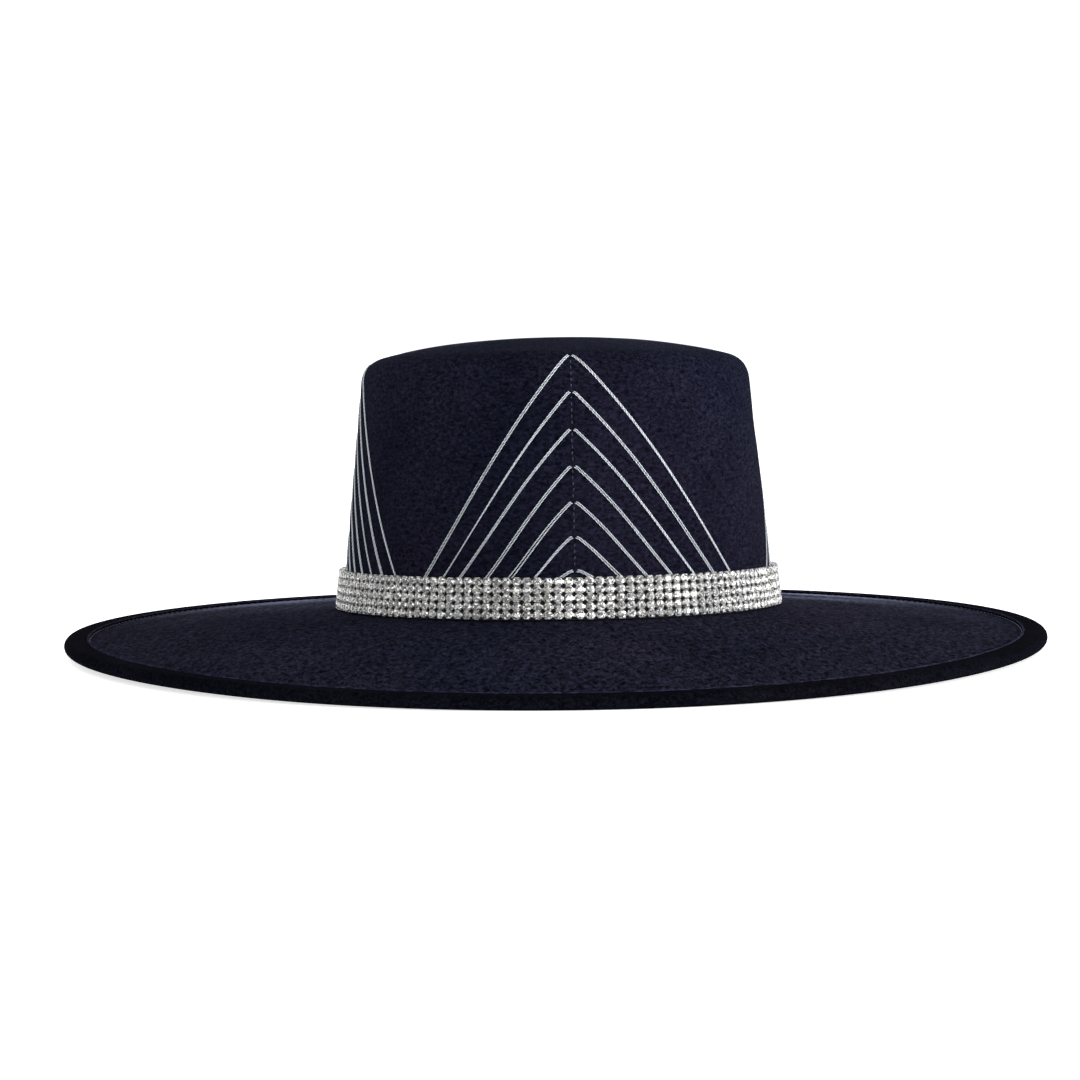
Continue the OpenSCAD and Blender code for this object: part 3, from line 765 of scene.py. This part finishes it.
def stone():
    """A squarish brilliant: table, eight stars, eight kites, two rings of girdle facets and the back."""
    rim = CUP_H * 0.9
    top = CUP_H - CUP_T - PLY + STONE_PROUD

    def ring(n, share, height, turn, held=0.0):
        turns = [2 * math.pi * (j + turn) / n for j in range(n)]
        square = [share * (1 + 0.07 * share * math.sin(2 * a) ** 2) for a in turns]
        return [(k * STONE_WIDE * math.cos(a), k * STONE_TALL * math.sin(a),
                 rim + (top - rim) * (height + held * math.sin(a) ** 2)) for a, k in zip(turns, square)]

    table, stars = ring(8, 0.40, 1.0, 0), ring(8, 0.66, 0.74, 0.5, 0.14)
    belt, girdle = ring(16, 0.86, 0.42, 0, 0.36), ring(16, 1.0, 0.0, 0.5, 0.62)
    low, back = ring(16, 0.84, -0.4, 0.5), ring(16, 0.5, -rim / (top - rim), 0.5)
    verts = table + stars + belt + girdle + low + back
    t, s, k, g, l, b = 0, 8, 16, 32, 48, 64          # where each ring starts, in the order above
    faces = [tuple(range(8))]
    for j in range(8):
        after, before = (j + 1) % 8, (j - 1) % 8
        faces.append((t + j, s + j, t + after))
        faces.append((t + j, s + before, k + 2 * j, s + j))
        faces.append((s + j, k + 2 * j, k + 2 * j + 1))
        faces.append((s + j, k + 2 * j + 1, k + (2 * j + 2) % 16))
    for j in range(16):
        after, before = (j + 1) % 16, (j - 1) % 16
        faces.append((k + j, g + before, g + j))
        faces.append((k + j, g + j, k + after))
        faces.append((g + j, l + j, l + after, g + after))
        faces.append((l + j, b + j, b + after, l + after))
    faces.append(tuple(range(b + 15, b - 1, -1)))
    return verts, faces


# Painted reflections on the facets: most are painted white, the rest with small rainbows such as cut glass
# throws back. How bright the painted reflection on the small facets and the table is, with the share of
# each.
GLINT_TINTS = np.array([(1, 1, 0.98)] * 10 + [(1, 0.84, 0.84), (0.82, 0.88, 1), (1, 0.92, 0.74),
                                        (0.84, 0.95, 0.98), (1, 0.94, 0.88), (0.93, 0.93, 1.0)])
SHINE, SHINE_SHARES = [0.04, 0.15, 0.34, 0.62, 1.2], [0.18, 0.26, 0.24, 0.16, 0.16]
TABLE_SHINE, TABLE_SHARES = [0.16, 0.32, 0.8], [0.45, 0.4, 0.15]


def turned_axes(along, up, out, spin, tip_a, tip_b):
    """The three axes turned by spin in their plane and tipped a little out of it."""
    x = along * math.cos(spin) + up * math.sin(spin)
    y = up * math.cos(spin) - along * math.sin(spin)
    z = out + x * tip_a + y * tip_b
    z /= np.linalg.norm(z)
    x = x - z * np.dot(x, z)
    x /= np.linalg.norm(x)
    return x, np.cross(z, x), z


def hatband():
    ribbon()
    cup_part, stone_part = cup(), stone()
    s = (np.arange(COLUMNS) / COLUMNS - 0.5) * RUN
    for row in range(1, ROWS + 1):
        m = BAND_FOOT + (row - 0.5) * ROW_PITCH + PLY / 2
        jig_s, jig_m = rng.normal(0, 0.05 * MM, COLUMNS), rng.normal(0, 0.03 * MM, COLUMNS)
        p, along, up, out = on_crown(s + jig_s, m + jig_m, RIBBON_OUT + PLY)
        tips = rng.normal(0, 0.035, (COLUMNS, 2))
        cups, stones = [], []
        for i in range(COLUMNS):
            axes = turned_axes(along[i], up[i], out[i], 0.0, *tips[i])
            cups.append((p[i], *axes))
            spun = turned_axes(along[i], up[i], out[i], rng.normal(0, 0.12), *(tips[i] * 1.5))
            stones.append((p[i] + out[i] * (CUP_T + PLY), *spun))
        verts, faces = spread(cup_part, cups)
        add_mesh(f"hatband_settings_{row}", verts, faces, setting_metal, smooth=False,
                 replaces=[f"hatband_cups_row_{row}"], slot="settings")
        verts, faces = spread(stone_part, stones)
        each = len(stone_part[1])
        # painted glints: each facet of each stone gets a random brightness and tint
        shine = rng.choice(SHINE, (COLUMNS, each), p=SHINE_SHARES)
        shine[:, 0] = rng.choice(TABLE_SHINE, COLUMNS, p=TABLE_SHARES)
        glint_tint = GLINT_TINTS[rng.integers(0, len(GLINT_TINTS), (COLUMNS, each))]
        tone = (shine[..., None] * glint_tint).reshape(-1, 3)
        add_mesh(f"hatband_rhinestones_{row}", verts, faces, stone_glass, smooth=False, tone=tone,
                 replaces=[f"hatband_stones_row_{row}"], slot="stones")


hatband()

# ---------------------------------------------------------------- thread chevrons

GROUPS = {name: RUN * share for name, share in GROUPS_AT.items()}
GROUPS["front"] += FRONT_OFF
POINT_LOW = BAND_TOP + POINT_FIRST
POINT_HIGH = float(np.linalg.norm(EDGE)) + POINT_OVER
FOOT_LAST = RUN * GROUP_W / 2
THREAD_TINT = (0.86, 0.93, 1.0)


def point_of(c):
    u = (CHEVRONS - c) / (CHEVRONS - 1)
    return POINT_LOW + (POINT_HIGH - POINT_LOW) * u - 4 * POINT_SAG * u * (1 - u)


def foot_of(c):
    return FOOT_FIRST + (FOOT_LAST - FOOT_FIRST) * (CHEVRONS - c) / (CHEVRONS - 1)


def twisted_strand(centre_s, start, end, off, phase, sides=8, step=0.3 * MM, lay=1.8 * MM):
    """A two-ply cord laid on the crown from its point to its foot, both (distance round, distance up)."""
    start, end = np.array(start), np.array(end)
    length = float(np.linalg.norm(end - start))
    n = max(4, int(length / step))
    u = np.linspace(0, 1, n + 1)
    far = u * length
    way = (end - start) / length
    side = np.array([way[1], -way[0]])
    drift = 0.10 * MM * wave(far, np.full(n + 1, phase), 0.03, seed=31)
    path = start + (end - start) * u[:, None] + side * (off + drift)[:, None]
    path[:, 0] += BOW * (end - start)[0] * BOW_PEAK * u * (1 - u) ** 2
    path[:, 1] -= 0.5 * MM * np.clip(1 - far / (1.5 * MM), 0, 1) ** 2
    r = STRAND_W / 2
    p, along, up, out = on_crown(centre_s + path[:, 0], path[:, 1], np.full(n + 1, r * 0.85))
    step_way = np.gradient(path, axis=0)
    step_way /= np.linalg.norm(step_way, axis=1)[:, None]
    run = along * step_way[:, :1] + up * step_way[:, 1:]
    across = np.cross(out, run)
    rings = []
    taper = np.clip(np.minimum(far, length - far) / (0.3 * MM), 0.25, 1)
    for j in range(sides):
        a = 2 * math.pi * j / sides
        rr = r * (0.86 + 0.2 * np.cos(2 * (a - 2 * math.pi * far / (2 * lay)) + phase)) * taper
        rings.append(p + across * (math.cos(a) * rr)[:, None] + out * (math.sin(a) * rr)[:, None])
    verts = np.stack(rings, 1).reshape(-1, 3)
    faces = grid_faces(n + 1, sides)
    faces += [tuple(range(sides - 1, -1, -1)), tuple(range(n * sides, (n + 1) * sides))]
    ply = np.array([[2 * math.pi * (j + 0.5) / sides - 2 * math.pi * f / (2 * lay) for j in range(sides)]
                    for f in far[:-1]])
    light = 0.62 + 0.34 * np.cos(2 * ply + phase)
    return verts, faces, np.concatenate([light.ravel(), [0.5, 0.5]])


def chevron(group, c):
    verts, faces, tones, count = [], [], [], 0
    top = point_of(c) + rng.normal(0, 0.2 * MM)
    for way in (-1, 1):
        for k, off in enumerate((-STRAND_GAP / 2, STRAND_GAP / 2)):
            start = (way * (STRAND_GAP / 2 + STRAND_W / 2 + 0.05 * MM), top)
            reach = foot_of(c) * REACH.get(group, (1.0, 1.0))[(way + 1) // 2]
            reach *= STRAY.get((group, c, way), 1.0)
            end = (way * (reach + rng.normal(0, 0.25 * MM)), BAND_TOP - 0.3 * MM)
            v, f, tone = twisted_strand(GROUPS[group], start, end, off * way, rng.uniform(0, 6.28))
            verts.append(v)
            faces += [tuple(i + count for i in face) for face in f]
            tones.append(tone)
            count += len(v)
    glint = np.concatenate(tones)
    glint = np.clip(glint * rng.uniform(0.62, 1.0, len(glint)), 0.05, 1)
    tone = glint[:, None] * np.array(THREAD_TINT)
    add_mesh(f"silver_thread_{group}_{c}", np.concatenate(verts), faces, silver_thread, tone=tone,
             replaces=[f"thread_{group}_{c}"], slot="silver_thread")


for group in GROUPS:
    for c in range(1, CHEVRONS + 1):
        chevron(group, c)


def centre_stitches():
    """Tiny stitches down the middle of each group, left out where a thread crosses."""
    gap = 2.3 * MM
    places = []
    for s in GROUPS.values():
        m = BAND_TOP + 5 * MM
        while m < point_of(1) - 2 * MM:
            if min(abs(point_of(c) - m) for c in range(1, CHEVRONS + 1)) > 1.8 * MM:
                p, along, up, out = on_crown(s + rng.normal(0, 0.08 * MM), m, 0.02 * MM)
                places.append((p, up, -along, out))
            m += gap
    verts, faces = spread(stitch(1.3 * MM, 0.42 * MM, 0.25 * MM), places)
    add_mesh("crown_middle_stitches", verts, faces, dark_thread, replaces=["crown_centre_stitches"],
             slot="dark_stitching", uv=verts[:, :2])


centre_stitches()

# ---------------------------------------------------------------- floor, light and camera

ROOM, BACKDROP = 0.28, 1.15                      # light of the room, and of the white backdrop behind it
FLOOR_HALF, FLOOR_DROP = 60.0, 0.05 * MM

stage_mat, _, _, _ = material("stage_paint", (0.9, 0.9, 0.9), roughness=0.95, emission_color=(1.0, 1.0, 1.0),
                              emission_strength=0.7)
floor_mesh = bpy.data.meshes.new("floor")
floor_corners = [(-1, -1), (1, -1), (1, 1), (-1, 1)]
floor_mesh.from_pydata([(FLOOR_HALF * x, FLOOR_HALF * y, 0) for x, y in floor_corners], [], [(0, 1, 2, 3)])
floor_mesh.materials.append(stage_mat)
floor = bpy.data.objects.new("floor", floor_mesh)
bpy.context.scene.collection.objects.link(floor)
floor.location.z = -FLOOR_DROP

world = bpy.data.worlds.new("studio")
world.use_nodes = True
w_nodes, w_links = world.node_tree.nodes, world.node_tree.links
w_split, w_range = w_nodes.new("ShaderNodeSeparateXYZ"), w_nodes.new("ShaderNodeMapRange")
w_links.new(w_nodes.new("ShaderNodeTexCoord").outputs["Generated"], w_split.inputs[0])
w_links.new(w_split.outputs["Y"], w_range.inputs["Value"])
w_range.interpolation_type = "SMOOTHSTEP"
w_range.inputs["From Min"].default_value, w_range.inputs["From Max"].default_value = 0.1, 0.6
w_range.inputs["To Min"].default_value, w_range.inputs["To Max"].default_value = ROOM, BACKDROP
w_links.new(w_range.outputs["Result"], w_nodes["Background"].inputs["Strength"])
w_nodes["Background"].inputs["Color"].default_value = (1, 1, 1, 1)
bpy.context.scene.world = world
bpy.context.scene.view_settings.view_transform = "Standard"


def lamp(name, kind, place, aim, power, **shape):
    """A lamp at a place that points at another."""
    light = bpy.data.lights.new(name, kind)
    light.energy = power
    for key, value in shape.items():
        setattr(light, key, value)
    obj = bpy.data.objects.new(name, light)
    obj.location = place
    obj.rotation_mode = "QUATERNION"
    obj.rotation_quaternion = (Vector(aim) - Vector(place)).to_track_quat("-Z", "Y")
    bpy.context.scene.collection.objects.link(obj)


lamp("overhead", "SUN", (0.0, 0.1, 2), (0, 0, 0), 1.2, angle=math.radians(110))
lamp("key_right", "AREA", (1.75, -0.75, 0.3), (0, 0, 0.06), 37.0, shape="SQUARE", size=0.6)
lamp("fill_left", "AREA", (-1.5, -1.2, 0.8), (0, 0, 0.06), 3.0, shape="SQUARE", size=0.6)
lamp("fill_front", "AREA", (0.05, -1.35, 0.35), (0, 0, 0.02), 6.5, shape="SQUARE", size=0.26)

# The camera stands in front, a little towards -X, low over the brim, and is rolled by under a degree.
AZIMUTH, ELEVATION, ROLL = math.radians(-4.04), math.radians(3.97), math.radians(0.674)
DISTANCE, AIM_SIDE, AIM_UP, LENS = 1.137, -5.47 * MM, 42.6 * MM, 93.3
back = Vector((math.sin(AZIMUTH) * math.cos(ELEVATION), -math.cos(AZIMUTH) * math.cos(ELEVATION),
               math.sin(ELEVATION)))
right = Vector((math.cos(AZIMUTH), math.sin(AZIMUTH), 0))
up = back.cross(right)
aim = right * AIM_SIDE + Vector((0, 0, AIM_UP))
rolled_right = right * math.cos(ROLL) - up * math.sin(ROLL)
rolled_up = up * math.cos(ROLL) + right * math.sin(ROLL)
camera_data = bpy.data.cameras.new("camera")
camera_data.lens, camera_data.sensor_width = LENS, 36.0
camera_data.clip_start, camera_data.clip_end = 0.05, 200.0
camera = bpy.data.objects.new("camera", camera_data)
camera.matrix_world = Matrix.Translation(aim + back * DISTANCE) @ Matrix(
    (rolled_right, rolled_up, back)).transposed().to_4x4()
bpy.context.scene.collection.objects.link(camera)
bpy.context.scene.camera = camera
